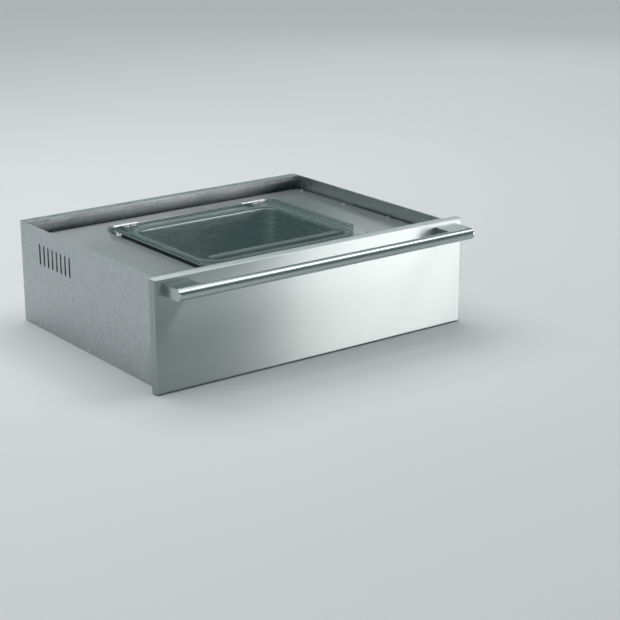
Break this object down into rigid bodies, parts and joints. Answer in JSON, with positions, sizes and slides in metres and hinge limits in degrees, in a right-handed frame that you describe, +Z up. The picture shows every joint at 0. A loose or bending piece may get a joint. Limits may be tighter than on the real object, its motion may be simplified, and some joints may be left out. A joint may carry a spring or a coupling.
{
  "type": "vacuum sealing drawer",
  "caption": "Built-in drawer with a bar handle; its tub on full-extension ball slides holds a vacuum chamber with a hinged glass lid, a lifting seal bar and a pump.",
  "frame": {"origin": "centre of the base tray's bottom face", "axes": "+X to the right seen from the front, +Y towards the back, so the front faces -Y, +Z up"},
  "size_m": [0.757, 0.651, 0.228],
  "materials": {
    "stainless_front": "fine brushed stainless, grain along the width",
    "handle_steel": "satin stainless, fine grain along the bar",
    "sheet_steel": "zinc-coated sheet with faint spangle",
    "slide_steel": "bright zinc-plated rolled steel",
    "deck_steel": "brushed stainless",
    "bright_steel": "bright plated steel",
    "hinge_metal": "satin anodised",
    "cage_plastic": "natural moulded plastic",
    "black_plastic": "fine moulded texture",
    "pale_plastic": "moulded plastic",
    "rubber": "black rubber",
    "silicone": "grey silicone",
    "clear_glass": "tempered glass with polished edges",
    "control_glass": "black glass",
    "circuit_board": "lacquered board",
    "pump_casting": "cast and ribbed",
    "winding": "wound and taped",
    "heating_brass": "flat band under a release film"
  },
  "bodies": {
    "housing": {"base_tray": "sheet_steel", "side_plate_left": "sheet_steel", "side_plate_right": "sheet_steel", "back_plate": "sheet_steel", "front_tie_rail": "sheet_steel", "rear_tie_rail": "sheet_steel", "slide_outer_left": "slide_steel", "slide_outer_right": "slide_steel", "housing_rivets": "bright_steel", "mains_gland": "black_plastic", "gland_nut": "black_plastic", "terminal_box": "black_plastic", "rear_bumpers": "rubber"},
    "slide_mids": {"slide_mid_left": "slide_steel", "slide_mid_right": "slide_steel"},
    "outer_cages": {"ball_cages_outer": "cage_plastic", "balls_outer": "bright_steel"},
    "inner_cages": {"ball_cages_inner": "cage_plastic", "balls_inner": "bright_steel"},
    "drawer": {"front_skin": "stainless_front", "front_backplate": "sheet_steel", "front_stiffener": "sheet_steel", "handle_tube": "handle_steel", "handle_plugs": "handle_steel", "handle_bracket_left": "handle_steel", "handle_bracket_right": "handle_steel", "handle_screws": "bright_steel", "front_adjusters": "sheet_steel", "tub_screws": "bright_steel", "drawer_tub": "sheet_steel", "slide_inner_left": "slide_steel", "slide_inner_right": "slide_steel", "deck": "deck_steel", "deck_screws": "bright_steel", "chamber": "deck_steel", "chamber_seal": "silicone", "suction_filter": "bright_steel", "vent_valve": "black_plastic", "port_nuts": "bright_steel", "piston_sleeves": "black_plastic", "hinge_blocks": "hinge_metal", "hinge_shaft": "bright_steel", "control_panel": "control_glass", "control_board": "circuit_board", "pump_head": "pump_casting", "pump_motor": "pump_casting", "pump_base": "sheet_steel", "pump_mounts": "rubber", "exhaust_muffler": "black_plastic", "suction_hose": "rubber", "transformer": "winding", "power_board": "circuit_board"},
    "lid": {"glass_lid": "clear_glass", "lid_arms": "hinge_metal", "lid_screws": "bright_steel", "counter_bar": "silicone"},
    "seal_bar": {"seal_bar": "black_plastic", "heating_strip": "heating_brass"},
    "pump_rotor": {"pump_fan": "pale_plastic"}
  },
  "joints": [
    {"name": "drawer_slide", "type": "slide", "parent": "housing", "child": "drawer", "axis": [0, -1, 0], "range_m": [0, 0.45]},
    {"name": "mid_slide", "type": "slide", "parent": "housing", "child": "slide_mids", "axis": [0, -1, 0], "range_m": [0, 0.225]},
    {"name": "outer_cage_slide", "type": "slide", "parent": "housing", "child": "outer_cages", "axis": [0, -1, 0], "range_m": [0, 0.1125]},
    {"name": "inner_cage_slide", "type": "slide", "parent": "housing", "child": "inner_cages", "axis": [0, -1, 0], "range_m": [0, 0.3375]},
    {"name": "lid_hinge", "type": "hinge", "parent": "drawer", "child": "lid", "pos_m": [0, 0.168, 0.1995], "axis": [-1, 0, 0], "range_deg": [0, 55]},
    {"name": "seal_bar_lift", "type": "slide", "parent": "drawer", "child": "seal_bar", "axis": [0, 0, 1], "range_m": [0, 0.006]},
    {"name": "pump_spin", "type": "hinge", "parent": "drawer", "child": "pump_rotor", "pos_m": [0.2594, 0.208, 0.0835], "axis": [0, 1, 0], "continuous": true}
  ],
  "couplings": [
    {"joint": "mid_slide", "follows": "drawer_slide", "ratio": 0.5},
    {"joint": "outer_cage_slide", "follows": "drawer_slide", "ratio": 0.25},
    {"joint": "inner_cage_slide", "follows": "drawer_slide", "ratio": 0.75}
  ]
}
